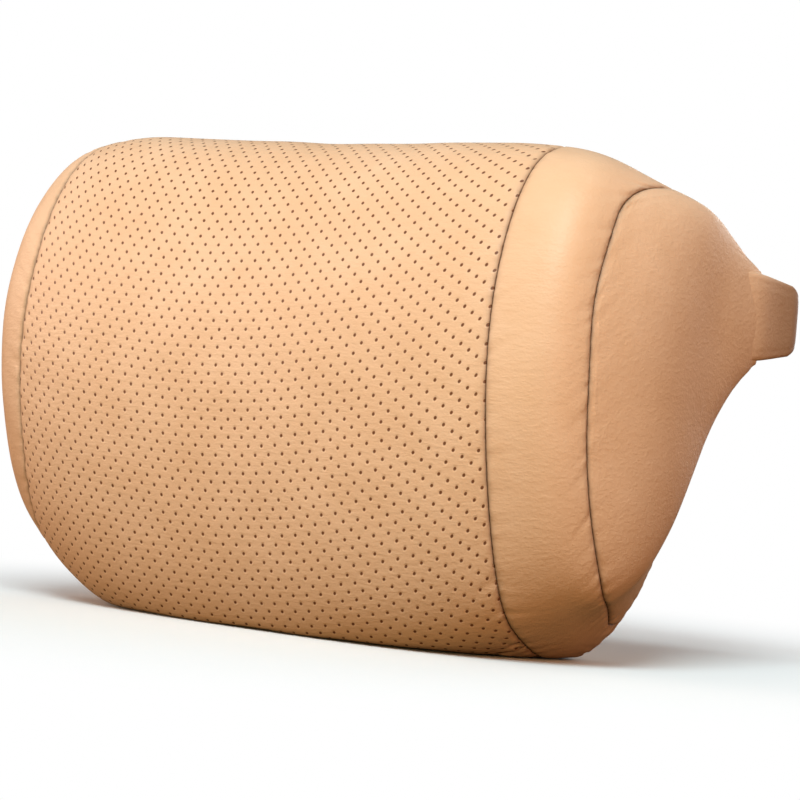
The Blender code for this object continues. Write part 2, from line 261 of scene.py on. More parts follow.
def lay_out_holes(mesh, faces, sideways, upwards, front):
    """Unwraps a panel at one unit a hole, from its middle, with the rows slightly turned."""
    middle = sideways.shape[1] // 2
    u = sideways - sideways[:, middle : middle + 1]
    v = upwards - upwards[front : front + 1, :]
    u, v = (
        u * math.cos(HOLE_ROW_TURN) + v * math.sin(HOLE_ROW_TURN),
        v * math.cos(HOLE_ROW_TURN) - u * math.sin(HOLE_ROW_TURN),
    )
    layout = mesh.uv_layers.new(name="leather")
    loops = faces.reshape(-1)
    flat = np.stack([u.reshape(-1)[loops], v.reshape(-1)[loops]], -1) / HOLE_PITCH
    layout.data.foreach_set("uv", flat.astype(np.float32).reshape(-1))


def leather_panel(name, across, around, counts, seed, seams, crown=0.0, swell=0.35):
    """One sewn panel. seams gives groove depths at its edges: low and high across, then low and high around."""
    grid_a, grid_r = panel_grid(across, around, counts)
    points = cover_point(grid_a, grid_r)
    normal = cover_normal(grid_a, grid_r)
    sideways = running_length(points, 1)
    upwards = running_length(points, 0)
    edges = (
        (sideways, upwards, seams[0]),
        (sideways[:, -1:] - sideways, upwards, seams[1]),
        (upwards, sideways, seams[2]),
        (upwards[-1:, :] - upwards, sideways, seams[3]),
    )
    pull, painted_seam_shade = sewn_edges(edges, grid_a.shape, seed)
    far = np.minimum.reduce([d / 18.0 for d, _, depth in edges if depth > 0] or [np.ones_like(pull)])
    lift = crown * np.clip(far, 0, 1) ** 0.7 + swell * undulation(points, seed) * np.clip(far, 0.15, 1)
    shaped = points + normal * (lift - pull)[..., None]
    mesh = bpy.data.meshes.new(name)
    faces = face_grid(counts[1], counts[0])
    mesh.from_pydata(((shaped.reshape(-1, 3) + BODY_SHIFT) * MM).tolist(), [], faces.tolist())
    front = np.argmin(np.abs(grid_r[:, counts[0] // 2] - len(SECTION)))
    lay_out_holes(mesh, faces, sideways, upwards, front)
    # The seam attribute carries painted shade: it darkens the leather colour along the seam grooves.
    shade = mesh.attributes.new("seam", "FLOAT", "POINT")
    shade.data.foreach_set("value", painted_seam_shade.astype(np.float32).reshape(-1))
    made = bpy.data.objects.new(name, mesh)
    bpy.context.scene.collection.objects.link(made)
    outward = np.array(mesh.polygons[len(mesh.polygons) // 2].normal) @ normal[counts[1] // 2, counts[0] // 2]
    if outward < 0:
        mesh.flip_normals()
    mesh.shade_smooth()
    finish_with(made, "SOLIDIFY", thickness=LEATHER * MM, offset=-1.0)
    return made


def finish_with(made, kind, **settings):
    """Adds a modifier and applies it."""
    step = made.modifiers.new(kind.lower(), kind)
    for key, value in settings.items():
        setattr(step, key, value)
    bpy.ops.object.select_all(action="DESELECT")
    bpy.context.view_layer.objects.active = made
    made.select_set(True)
    bpy.ops.object.modifier_apply(modifier=step.name)
    made.select_set(False)


# ---------------------------------------------------------------- materials


def new_group(name, inputs, outputs):
    group = bpy.data.node_groups.new(name, "ShaderNodeTree")
    for label, kind, start in inputs:
        made = group.interface.new_socket(label, in_out="INPUT", socket_type=kind)
        if start is not None:
            made.default_value = start
    for label, kind in outputs:
        group.interface.new_socket(label, in_out="OUTPUT", socket_type=kind)
    return group, group.nodes.new("NodeGroupInput"), group.nodes.new("NodeGroupOutput")


def node(tree, kind, **values):
    made = tree.nodes.new(kind)
    for key, value in values.items():
        setattr(made, key, value)
    return made


def math_node(tree, operation, first, second=None, clamp=False):
    made = node(tree, "ShaderNodeMath", operation=operation, use_clamp=clamp)
    for slot, value in enumerate((first, second)):
        if value is None:
            continue
        if isinstance(value, (int, float)):
            made.inputs[slot].default_value = value
        else:
            tree.links.new(value, made.inputs[slot])
    return made.outputs[0]


def noise(tree, vector, scale, detail=2.0, rough=0.5):
    made = node(tree, "ShaderNodeTexNoise")
    made.inputs["Scale"].default_value = scale
    made.inputs["Detail"].default_value = detail
    made.inputs["Roughness"].default_value = rough
    tree.links.new(vector, made.inputs["Vector"])
    return made.outputs["Fac"]


def mix_color(tree, factor, first, second, blend="MIX"):
    made = node(tree, "ShaderNodeMix", data_type="RGBA", blend_type=blend)
    for slot, value in ((0, factor), (6, first), (7, second)):
        if isinstance(value, (int, float)):
            made.inputs[slot].default_value = value
        elif isinstance(value, tuple):
            made.inputs[slot].default_value = value
        else:
            tree.links.new(value, made.inputs[slot])
    return made.outputs[2]


def ramp(tree, value, low, high):
    made = node(tree, "ShaderNodeMapRange", interpolation_type="SMOOTHSTEP")
    tree.links.new(value, made.inputs["Value"])
    made.inputs["From Min"].default_value = low
    made.inputs["From Max"].default_value = high
    return made.outputs["Result"]


def stretched(tree, vector, scale):
    made = node(tree, "ShaderNodeMapping")
    made.inputs["Scale"].default_value = scale
    tree.links.new(vector, made.inputs["Vector"])
    return made.outputs["Vector"]


def leather_group():
    """Pebbled grain, fine creases, a slow change of tone, and painted shade darkening towards near-black where
    the shade input is high.
    """
    group, given, out = new_group(
        "leather surface",
        [
            ("Place", "NodeSocketVector", None),
            ("Tan", "NodeSocketColor", (0.80, 0.45, 0.24, 1)),
            ("Deep Tan", "NodeSocketColor", (0.60, 0.30, 0.15, 1)),
            ("Seam", "NodeSocketFloat", 0.0),
        ],
        [("Color", "NodeSocketColor"), ("Roughness", "NodeSocketFloat"), ("Height", "NodeSocketFloat")],
    )
    place = given.outputs["Place"]
    pebble = node(group, "ShaderNodeTexVoronoi", feature="SMOOTH_F1")
    pebble.inputs["Scale"].default_value = 950.0
    pebble.inputs["Smoothness"].default_value = 0.6
    group.links.new(place, pebble.inputs["Vector"])
    fine = noise(group, place, 1500.0, 3.0)
    crease = noise(group, stretched(group, place, (0.32, 1.0, 1.5)), 430.0, 4.0, 0.6)
    slow = noise(group, place, 16.0, 3.0)
    blotch = noise(group, place, 75.0, 4.0, 0.6)
    grain = math_node(group, "MULTIPLY", pebble.outputs["Distance"], 0.55)
    grain = math_node(group, "ADD", grain, math_node(group, "MULTIPLY", fine, 0.35))
    deep = math_node(group, "MULTIPLY", ramp(group, crease, 0.35, 0.7), 0.7)
    grain = math_node(group, "ADD", grain, deep)
    group.links.new(grain, out.inputs["Height"])
    patches = math_node(group, "MULTIPLY", blotch, 0.4)
    shade = math_node(group, "ADD", math_node(group, "MULTIPLY", slow, 0.6), patches)
    tone = mix_color(group, ramp(group, shade, 0.80, 0.30), given.outputs["Tan"], given.outputs["Deep Tan"])
    tone = mix_color(group, math_node(group, "MULTIPLY", crease, 0.16), tone, given.outputs["Deep Tan"])
    # Painted shade: darkens the colour towards near-black brown in the seam grooves and along the strap tabs;
    # the same mask raises roughness.
    painted_shade = math_node(group, "MULTIPLY", given.outputs["Seam"], 0.93, True)
    tone = mix_color(group, painted_shade, tone, (0.085, 0.028, 0.010, 1))
    group.links.new(tone, out.inputs["Color"])
    rough = math_node(group, "ADD", math_node(group, "MULTIPLY", blotch, 0.16), 0.40)
    rough = math_node(group, "ADD", rough, math_node(group, "MULTIPLY", given.outputs["Seam"], 0.3))
    group.links.new(rough, out.inputs["Roughness"])
    return group


def hole_group():
    """Punched holes in staggered rows, from a layout measured in hole pitches."""
    group, given, out = new_group(
        "punched holes",
        [("Layout", "NodeSocketVector", None), ("Radius", "NodeSocketFloat", 0.105)],
        [("Hole", "NodeSocketFloat"), ("Rim", "NodeSocketFloat")],
    )
    found = []
    for offset in (0.0, 0.5):
        moved = node(group, "ShaderNodeVectorMath", operation="ADD")
        moved.inputs[1].default_value = (offset + 0.5, offset + 0.5, 0.0)
        group.links.new(given.outputs["Layout"], moved.inputs[0])
        part = node(group, "ShaderNodeVectorMath", operation="FRACTION")
        group.links.new(moved.outputs[0], part.inputs[0])
        centred = node(group, "ShaderNodeVectorMath", operation="SUBTRACT")
        centred.inputs[1].default_value = (0.5, 0.5, 0.0)
        group.links.new(part.outputs[0], centred.inputs[0])
        flat = node(group, "ShaderNodeVectorMath", operation="MULTIPLY")
        flat.inputs[1].default_value = (1.0, 1.0, 0.0)
        group.links.new(centred.outputs[0], flat.inputs[0])
        length = node(group, "ShaderNodeVectorMath", operation="LENGTH")
        group.links.new(flat.outputs[0], length.inputs[0])
        found.append(length.outputs["Value"])
    near = math_node(group, "MINIMUM", found[0], found[1])
    share = math_node(group, "DIVIDE", near, given.outputs["Radius"])
    group.links.new(ramp(group, share, 1.12, 0.72), out.inputs["Hole"])
    group.links.new(ramp(group, share, 1.9, 0.85), out.inputs["Rim"])
    return group


LEATHER_SURFACE = leather_group()
PUNCHED_HOLES = hole_group()
TAN = (0.81, 0.57, 0.395, 1)
DEEP_TAN = (0.74, 0.49, 0.31, 1)
# Dark brown painted into the punched holes as the shade inside them.
HOLE_SHADE = (0.16, 0.06, 0.025, 1)


def plain_material(name, color, roughness, metallic=0.0):
    made = bpy.data.materials.new(name)
    made.use_nodes = True
    shader = made.node_tree.nodes["Principled BSDF"]
    shader.inputs["Base Color"].default_value = color
    shader.inputs["Roughness"].default_value = roughness
    shader.inputs["Metallic"].default_value = metallic
    return made, made.node_tree, shader


def leather_material(name, perforated=False, tan=TAN, deep=DEEP_TAN):
    made, tree, shader = plain_material(name, tan, 0.48)
    shader.inputs["Specular IOR Level"].default_value = 0.42
    shader.inputs["Subsurface Weight"].default_value = 0.0
    place = node(tree, "ShaderNodeTexCoord").outputs["Object"]
    surface = node(tree, "ShaderNodeGroup", node_tree=LEATHER_SURFACE)
    surface.inputs["Tan"].default_value = tan
    surface.inputs["Deep Tan"].default_value = deep
    # Reads the painted shade mask stored in the seam attribute.
    seam = node(tree, "ShaderNodeAttribute", attribute_name="seam")
    tree.links.new(place, surface.inputs["Place"])
    tree.links.new(seam.outputs["Fac"], surface.inputs["Seam"])
    color = surface.outputs["Color"]
    height = surface.outputs["Height"]
    if perforated:
        layout = node(tree, "ShaderNodeUVMap", uv_map="leather")
        holes = node(tree, "ShaderNodeGroup", node_tree=PUNCHED_HOLES)
        tree.links.new(layout.outputs["UV"], holes.inputs["Layout"])
        color = mix_color(tree, math_node(tree, "MULTIPLY", holes.outputs["Rim"], 0.22), color, deep)
        # Painted shade: the holes are filled with dark brown, standing in for the shade inside them.
        color = mix_color(tree, holes.outputs["Hole"], color, HOLE_SHADE)
        sunk = math_node(tree, "MULTIPLY", holes.outputs["Rim"], -1.3)
        height = math_node(tree, "ADD", height, sunk)
    tree.links.new(color, shader.inputs["Base Color"])
    tree.links.new(surface.outputs["Roughness"], shader.inputs["Roughness"])
    bump = node(tree, "ShaderNodeBump")
    bump.inputs["Strength"].default_value = 0.5
    bump.inputs["Distance"].default_value = 0.00016
    tree.links.new(height, bump.inputs["Height"])
    tree.links.new(bump.outputs["Normal"], shader.inputs["Normal"])
    return made


def foam_material():
    made, tree, shader = plain_material("moulded foam", (0.80, 0.74, 0.58, 1), 0.9)
    place = node(tree, "ShaderNodeTexCoord").outputs["Object"]
    pores = noise(tree, place, 900.0, 4.0, 0.7)
    tone = mix_color(tree, pores, (0.86, 0.80, 0.64, 1), (0.66, 0.58, 0.42, 1))
    tree.links.new(tone, shader.inputs["Base Color"])
    bump = node(tree, "ShaderNodeBump")
    bump.inputs["Distance"].default_value = 0.0004
    tree.links.new(pores, bump.inputs["Height"])
    tree.links.new(bump.outputs["Normal"], shader.inputs["Normal"])
    return made


# ---------------------------------------------------------------- pieces

BODY = "cushion"


def wear(made, look, stands_for, body=BODY):
    made.data.materials.clear()
    made.data.materials.append(look)
    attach(made, body)
    for name in [stands_for] if isinstance(stands_for, str) else stands_for:
        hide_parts(name)
    return made


def smooth_step(value):
    value = np.clip(value, 0.0, 1.0)
    return value**2 * (3 - 2 * value)


def side_seam(sign):
    """The outer seam leans back over the top, bows forward low down and runs in underneath."""

    def place(around):
        lean = 0.75 * smooth_step((around - 17.5) / 1.7) - 0.10 * np.exp(-(((around - 16.3) / 0.8) ** 2))
        bow = 0.28 * np.exp(-(((around - 12.5) / 1.3) ** 2)) - 0.19 * np.clip(11.7 - around, 0.0, 1.5) ** 2
        return sign * (SIDE_SEAM + lean + bow)

    return place


def right_front_seam(around):
    """The right front seam bends outwards low down and inwards near the top."""
    return FRONT_SEAM + 0.09 * np.sin(np.pi * (14.6 - around) / 5.0)


def left_front_seam(around):
    """The left front seam sits a little further out, most of all at the top and the bottom."""
    above = 0.40 * smooth_step((around - 16.0) / 3.0)
    below = 0.4 * smooth_step((14.0 - around) / 2.5)
    return -(FRONT_SEAM + 0.08 + above + below)


def padded_cover():
    plain = leather_material("tan leather")
    punched = leather_material("punched tan leather", perforated=True)
    count = len(SECTION)
    top = count + TOP_REAR_SEAM
    front = leather_panel(
        "front_leather",
        (left_front_seam, right_front_seam),
        (BASE_FRONT_SEAM, top),
        (200, 150),
        11,
        (GROOVE, GROOVE, SLIGHT_GROOVE, SLIGHT_GROOVE),
    )
    wear(front, punched, "front_panel")
    base = leather_panel(
        "base_leather",
        (left_front_seam, right_front_seam),
        (BASE_REAR_SEAM, BASE_FRONT_SEAM),
        (100, 40),
        12,
        (SLIGHT_GROOVE,) * 4,
        swell=0.0,
    )
    wear(base, plain, "base_panel")
    for side, sign in (("right", 1.0), ("left", -1.0)):
        band = leather_panel(
            side + "_band_leather",
            (right_front_seam, side_seam(1.0)) if sign > 0 else (side_seam(-1.0), left_front_seam),
            (BASE_REAR_SEAM, top),
            (70, 230),
            20 + int(sign),
            (GROOVE, GROOVE, SLIGHT_GROOVE, SLIGHT_GROOVE),
            crown=0.35,
        )
        wear(band, plain, side + "_band")
        beside = (GROOVE, WING_GROOVE) if sign > 0 else (WING_GROOVE, GROOVE)
        end = leather_panel(
            side + "_end_leather",
            (side_seam(1.0), WING_TIP) if sign > 0 else (-WING_TIP, side_seam(-1.0)),
            (BASE_REAR_SEAM, top),
            (110, 150),
            30 + int(sign),
            (*beside, SLIGHT_GROOVE, SLIGHT_GROOVE),
            crown=0.5,
        )
        wear(end, plain, side + "_end_panel")
        beside = (SLIGHT_GROOVE, WING_GROOVE) if sign > 0 else (WING_GROOVE, SLIGHT_GROOVE)
        lining = leather_panel(
            side + "_lining_leather",
            sorted((sign * REAR_SEAM, sign * WING_TIP)),
            (TOP_REAR_SEAM, BASE_REAR_SEAM),
            (90, 60),
            40 + int(sign),
            (*beside, SLIGHT_GROOVE, SLIGHT_GROOVE),
        )
        wear(lining, plain, side + "_wing_lining")


def padding():
    """The foam inside, set back from the leather."""
    columns = np.linspace(-8.0, 8.0, 90)
    rows = np.linspace(0.0, len(SECTION), 60, endpoint=False)
    grid_a, grid_r = np.meshgrid(columns, rows)
    depth = np.clip(6.0 - 0.55 * np.maximum(0.0, np.abs(grid_a) - 4.0), 3.2, 6.0)
    points = cover_point(grid_a, grid_r) - cover_normal(grid_a, grid_r) * depth[..., None]
    shell = bmesh.new()
    placed = (points + BODY_SHIFT) * MM
    rings = [[shell.verts.new(point) for point in placed[:, i]] for i in range(len(columns))]
    for first, second in zip(rings, rings[1:]):
        for j in range(len(rows)):
            k = (j + 1) % len(rows)
            shell.faces.new((first[j], first[k], second[k], second[j]))
    shell.faces.new(rings[0])
    shell.faces.new(rings[-1])
    bmesh.ops.recalc_face_normals(shell, faces=shell.faces)
    mesh = bpy.data.meshes.new("foam_insert")
    shell.to_mesh(mesh)
    shell.free()
    made = bpy.data.objects.new("foam_insert", mesh)
    bpy.context.scene.collection.objects.link(made)
    wear(made, foam_material(), ["foam_core", "right_wing_foam", "left_wing_foam"])


def rear_place(height):
    places = np.linspace(TOP_REAR_SEAM, BASE_REAR_SEAM, 400)
    heights = cover_point(np.zeros_like(places), places)[:, 2]
    return float(places[int(np.argmin(np.abs(heights - height)))])


def rear_cover():
    plain = leather_material("rear tan leather")
    sides = (-REAR_SEAM, REAR_SEAM)
    below, beside = rear_place(ZIP_Z - ZIP_WINDOW), rear_place(ZIP_Z + ZIP_WINDOW)
    upper = leather_panel(
        "rear_upper_leather",
        sides,
        (TOP_REAR_SEAM, beside),
        (120, 70),
        51,
        (SLIGHT_GROOVE, SLIGHT_GROOVE, SLIGHT_GROOVE, FAINT_GROOVE),
        swell=0.0,
    )
    wear(upper, plain, "rear_panel_upper")

    def lower_edge(place):
        past_end = np.abs(cover_point(place, below)[..., 0]) - ZIP_END
        share = np.clip(past_end / 5.0, 0.0, 1.0)
        return below + (beside - below) * share**2 * (3 - 2 * share)

    lower = leather_panel(
        "rear_lower_leather",
        sides,
        (lower_edge, BASE_REAR_SEAM),
        (150, 40),
        52,
        (SLIGHT_GROOVE, SLIGHT_GROOVE, FAINT_GROOVE, SLIGHT_GROOVE),
        swell=0.0,
    )
    wear(lower, plain, "rear_panel_lower")


def tab_path():
    """Middle line of the right strap tab, seen from above, with its half height along it."""
    turn = 10.0
    corner_x, corner_y = 137.5 - turn, 147.0 - turn
    line = [
        (136.4, 108.0, 15.8),
        (137.0, 114.0, 15.4),
        (137.4, 120.0, 14.8),
        (137.5, 126.0, 14.0),
        (137.5, 131.5, 13.2),
        (137.5, corner_y, 12.4),
    ]
    for degrees in range(10, 91, 10):
        angle = math.radians(degrees)
        half = 12.4 - 2.0 * math.sin(angle) - 1.3 * math.sin(2 * angle)
        line.append((corner_x + turn * math.cos(angle), corner_y + turn * math.sin(angle), half))
    line += [(corner_x - reach, 147.0, 10.4) for reach in (6.0, 13.0, 20.0)]
    return np.array(line)


def smooth_line(line, count):
    """The same line with evenly spaced points."""
    length = np.concatenate([[0], np.cumsum(np.linalg.norm(np.diff(line[:, :2], axis=0), axis=1))])
    places = np.linspace(0, length[-1], count)
    return np.stack([np.interp(places, length, line[:, i]) for i in range(line.shape[1])], -1)


def strap_tab(side, sign):
    """Folded leather tab: a flat tube with rounded folds at its top and bottom edges."""
    line = smooth_line(tab_path(), 70)
    centre_z = 34.0
    along = np.gradient(line[:, :2], axis=0)
    along /= np.linalg.norm(along, axis=1)[:, None]
    across = np.stack([-along[:, 1], along[:, 0]], -1)
    turns = np.linspace(0, 2 * np.pi, 56, endpoint=False)
    flat = np.sign(np.sin(turns)) * np.abs(np.sin(turns)) ** 0.55
    bulge = np.sign(np.cos(turns)) * np.abs(np.cos(turns)) ** 0.42
    shell = bmesh.new()
    rings = []
    for i, (x, y, half) in enumerate(line):
        sewn = 0.12 * np.exp(-((np.abs(flat) - 0.80) / 0.05) ** 2)
        swell = 1.0 + 0.9 * math.exp(-((i / len(line) - 0.1) / 0.16) ** 2)
        thick = 1.42 * swell - sewn
        ring = []
        for j in range(len(turns)):
            side_x = x + across[i, 0] * bulge[j] * thick[j]
            side_y = y + across[i, 1] * bulge[j] * thick[j]
            point = np.array([sign * side_x, side_y, centre_z + flat[j] * half]) + BODY_SHIFT
            ring.append(shell.verts.new(point * MM))
        rings.append(ring)
    for first, second in zip(rings, rings[1:]):
        for j in range(len(turns)):
            k = (j + 1) % len(turns)
            shell.faces.new((first[j], first[k], second[k], second[j]))
    shell.faces.new(rings[0])
    shell.faces.new(rings[-1])
    bmesh.ops.recalc_face_normals(shell, faces=shell.faces)
    mesh = bpy.data.meshes.new(side + "_tab_leather")
    shell.to_mesh(mesh)
    shell.free()
    mesh.shade_smooth()
    # Painted shade: the tab darkens steadily from where it leaves the wing towards the strap, through the seam
    # attribute.
    painted_tab_shade = 0.55 * smooth_step(np.arange(len(line)) / len(line) / 0.5)
    shade = mesh.attributes.new("seam", "FLOAT", "POINT")
    shade.data.foreach_set("value", np.repeat(painted_tab_shade, len(turns)).astype(np.float32))
    made = bpy.data.objects.new(side + "_tab_leather", mesh)
    bpy.context.scene.collection.objects.link(made)
    look = leather_material(side + " tab leather", tan=TAN, deep=DEEP_TAN)
    return wear(made, look, side + "_strap_tab")


def plastic_group():
    """Moulded plastic: a fine spark-eroded texture, with paler rubbed patches."""
    group, given, out = new_group(
        "moulded texture",
        [("Place", "NodeSocketVector", None), ("Base", "NodeSocketColor", (0.02, 0.02, 0.02, 1))],
        [("Color", "NodeSocketColor"), ("Roughness", "NodeSocketFloat"), ("Height", "NodeSocketFloat")],
    )
    place = given.outputs["Place"]
    grain = noise(group, place, 2600.0, 3.0, 0.6)
    rub = noise(group, place, 120.0, 4.0, 0.6)
    group.links.new(grain, out.inputs["Height"])
    worn = math_node(group, "MULTIPLY", ramp(group, rub, 0.45, 0.85), 0.25)
    paler = mix_color(group, worn, given.outputs["Base"], (0.09, 0.085, 0.08, 1))
    group.links.new(paler, out.inputs["Color"])
    rough = math_node(group, "ADD", math_node(group, "MULTIPLY", rub, 0.25), 0.36)
    group.links.new(rough, out.inputs["Roughness"])
    return group


def weave_group():
    """Close ribbed weave: warp ribs along X, weft picks across."""
    group, given, out = new_group(
        "woven ribs",
        [("Place", "NodeSocketVector", None), ("Yarn", "NodeSocketColor", (0.3, 0.2, 0.1, 1))],
        [("Color", "NodeSocketColor"), ("Height", "NodeSocketFloat")],
    )
    parts = node(group, "ShaderNodeSeparateXYZ")
    group.links.new(given.outputs["Place"], parts.inputs[0])
    waves = []
    for axis, pitch in ((2, 0.0009), (0, 0.0012)):
        turn = math_node(group, "MULTIPLY", parts.outputs[axis], 2 * math.pi / pitch)
        waves.append(math_node(group, "SINE", turn))
    crossed = math_node(group, "MULTIPLY", waves[0], waves[1])
    ribs = math_node(group, "ADD", math_node(group, "MULTIPLY", crossed, 0.3), 0.5)
    fuzz = noise(group, given.outputs["Place"], 1800.0, 3.0, 0.7)
    height = math_node(group, "ADD", ribs, math_node(group, "MULTIPLY", fuzz, 0.25))
    group.links.new(height, out.inputs["Height"])
    # Painted shade: the low places between the ribs are darkened towards near-black.
    rib_hollow_shade = mix_color(group, 0.6, given.outputs["Yarn"], (0.06, 0.03, 0.015, 1))
    group.links.new(mix_color(group, ribs, rib_hollow_shade, given.outputs["Yarn"]), out.inputs["Color"])
    return group


MOULDED = plastic_group()
WOVEN = weave_group()


def bumped(tree, shader, height, distance, strength=0.6):
    bump = node(tree, "ShaderNodeBump")
    bump.inputs["Distance"].default_value = distance
    bump.inputs["Strength"].default_value = strength
    tree.links.new(height, bump.inputs["Height"])
    tree.links.new(bump.outputs["Normal"], shader.inputs["Normal"])


def plastic_material(name, color):
    made, tree, shader = plain_material(name, color, 0.45)
    place = node(tree, "ShaderNodeTexCoord").outputs["Object"]
    surface = node(tree, "ShaderNodeGroup", node_tree=MOULDED)
    surface.inputs["Base"].default_value = color
    tree.links.new(place, surface.inputs["Place"])
    tree.links.new(surface.outputs["Color"], shader.inputs["Base Color"])
    tree.links.new(surface.outputs["Roughness"], shader.inputs["Roughness"])
    bumped(tree, shader, surface.outputs["Height"], 0.00008)
    return made


def woven_material(name, yarn):
    made, tree, shader = plain_material(name, yarn, 0.85)
    shader.inputs["Sheen Weight"].default_value = 0.25
    place = node(tree, "ShaderNodeTexCoord").outputs["Object"]
    surface = node(tree, "ShaderNodeGroup", node_tree=WOVEN)
    surface.inputs["Yarn"].default_value = yarn
    tree.links.new(place, surface.inputs["Place"])
    tree.links.new(surface.outputs["Color"], shader.inputs["Base Color"])
    bumped(tree, shader, surface.outputs["Height"], 0.00035, 0.9)
    return made


def metal_material():
    made, tree, shader = plain_material("antique brass", (0.55, 0.43, 0.25, 1), 0.32, 1.0)
    place = node(tree, "ShaderNodeTexCoord").outputs["Object"]
    brushed = noise(tree, stretched(tree, place, (1.0, 1.0, 0.08)), 2200.0, 3.0, 0.6)
    tarnish = noise(tree, place, 300.0, 4.0, 0.65)
    tone = mix_color(tree, ramp(tree, tarnish, 0.45, 0.75), (0.62, 0.49, 0.29, 1), (0.26, 0.18, 0.09, 1))
    tree.links.new(tone, shader.inputs["Base Color"])
    rough = math_node(tree, "ADD", math_node(tree, "MULTIPLY", brushed, 0.25), 0.2)
    tree.links.new(rough, shader.inputs["Roughness"])
    bumped(tree, shader, brushed, 0.00003)
    return made


def block(name, low, high, bevel, segments=3):
    """A block between two corners with rounded edges."""
    bpy.ops.object.select_all(action="DESELECT")
    centre = (Vector(low) + Vector(high)) / 2
    bpy.ops.mesh.primitive_cube_add(size=1.0, location=centre, scale=Vector(high) - Vector(low))
    made = bpy.context.object
    made.name = name
    bpy.ops.object.transform_apply(location=True, rotation=False, scale=True)
    bpy.ops.object.mode_set(mode="EDIT")
    bpy.ops.mesh.select_all(action="SELECT")
    bpy.ops.mesh.bevel(offset=bevel, segments=segments, affect="EDGES")
    bpy.ops.object.mode_set(mode="OBJECT")
    made.data.shade_smooth()
    made.select_set(False)
    return made


def copies(name, model, places, turns=None):
    """One object that holds a copy of the model at each place; the model itself is removed."""
    shell = bmesh.new()
    for number, place in enumerate(places):
        one = model.data.copy()
        turn = Matrix.Rotation(turns[number], 4, "Y") if turns is not None else Matrix.Identity(4)
        one.transform(Matrix.Translation(Vector(place)) @ turn)
        shell.from_mesh(one)
        bpy.data.meshes.remove(one)
    mesh = bpy.data.meshes.new(name)
    shell.to_mesh(mesh)
    shell.free()
    mesh.shade_smooth()
    made = bpy.data.objects.new(name, mesh)
    bpy.context.scene.collection.objects.link(made)
    bpy.data.objects.remove(model)
    return made


def webbing():
    """Elastic strap halves with firm rounded edges."""
    look = woven_material("elastic webbing", (0.36, 0.21, 0.11, 1))
    for name in ("right_strap", "left_strap"):
        low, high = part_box(name)
        strap = block(name + "_webbing", low, high, 0.0006)
        wear(strap, look, name)
        wear_stitches(name, low, high)


def wear_stitches(name, low, high):
    """A box of thread where the strap is sewn into its leather tab."""
    outer = high.x if name.startswith("right") else low.x
    inward = -1.0 if name.startswith("right") else 1.0
    thread = stitch("thread_model", 0.0024, 0.00032)
    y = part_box(name.replace("_strap", "_strap_tab"))[1].y + 0.00005
    z_low, z_high = low.z + 0.003, high.z - 0.003
    x_near, x_far = outer + inward * 0.0095, outer + inward * 0.0025
    places, turns = [], []
    for z in (z_low, z_high):
        for x in np.arange(min(x_near, x_far), max(x_near, x_far) + 0.0001, 0.0032):
            places.append((x, y, z))
            turns.append(0.0)
    for x in (x_near, x_far):
        for z in np.arange(z_low, z_high + 0.0001, 0.0032):
            places.append((x, y, z))
            turns.append(math.pi / 2)
    rows = copies(name + "_stitching", thread, places, turns)
    look = woven_material(name + " thread", (0.62, 0.38, 0.20, 1))
    rows.data.materials.append(look)
    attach(rows, BODY)


def stitch(name, length, radius):
    """One thread stitch lying along X."""
    bpy.ops.object.select_all(action="DESELECT")
    bpy.ops.mesh.primitive_uv_sphere_add(segments=8, ring_count=6, radius=1.0)
    made = bpy.context.object
    made.name = name
    made.data.transform(Matrix.Diagonal((length / 2, radius, radius, 1.0)))
    made.select_set(False)
    return made


def zip_teeth():
    """Two rows of coil teeth that meet in the middle."""
    look = plastic_material("zip coil", (0.33, 0.19, 0.09, 1))
    pitch = 0.0016
    for name, sign in (("zip_coil_upper", 1.0), ("zip_coil_lower", -1.0)):
        low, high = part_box(name)
        tooth = block("tooth_model", (-0.0005, -0.00055, -0.0009), (0.0005, 0.00055, 0.0009), 0.0003, 2)
        y = (low.y + high.y) / 2
        z = (low.z + high.z) / 2
        start = low.x + (0.0 if sign > 0 else pitch / 2)
        places = [(x, y, z) for x in np.arange(start + 0.001, high.x - 0.0005, pitch)]
        row = copies(name + "_teeth", tooth, places)
        wear(row, look, name)


def grip_pad():
    """Non-slip patch: a thin backing with a grid of small rubber dots."""
    low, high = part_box("antislip_pad")
    backing = block("grip_backing", low, (high.x, high.y - 0.0002, high.z), 0.0003)
    wear(backing, plastic_material("grip backing", (0.06, 0.05, 0.045, 1)), "antislip_pad")
    bpy.ops.object.select_all(action="DESELECT")
    bpy.ops.mesh.primitive_uv_sphere_add(segments=10, ring_count=6, radius=0.0011)
    dot = bpy.context.object
    dot.data.transform(Matrix.Diagonal((1.0, 0.45, 1.0, 1.0)))
    dot.select_set(False)
    pitch = 0.0045
    places = []
    for row, z in enumerate(np.arange(low.z + 0.004, high.z - 0.003, pitch)):
        for x in np.arange(low.x + 0.004 + (row % 2) * pitch / 2, high.x - 0.003, pitch):
            places.append((x, high.y - 0.0003, z))
    dots = copies("grip_dots", dot, places)
    dots.data.materials.append(plastic_material("grip rubber", (0.10, 0.085, 0.07, 1)))
    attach(dots, BODY)


def hard_fittings():
    """Better finishes on the moulded and cast pieces that keep their shape."""
    black = plastic_material("black acetal", (0.018, 0.017, 0.016, 1))
    brass = metal_material()
    tape = woven_material("zip tape", (0.40, 0.24, 0.13, 1))
    looks = {
        "tri_glide": black,
        "buckle_socket": black,
        "buckle_plug": black,
        "buckle_prong_upper": black,
        "buckle_prong_lower": black,
        "zip_slider": brass,
        "zip_pull": brass,
        "zip_stop_left": brass,
        "zip_stop_right": brass,
        "zip_tape_upper": tape,
        "zip_tape_lower": tape,
    }
    for name, look in looks.items():
        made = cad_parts[name]
        made.data.materials.clear()
        made.data.materials.append(look)


# ---------------------------------------------------------------- stage


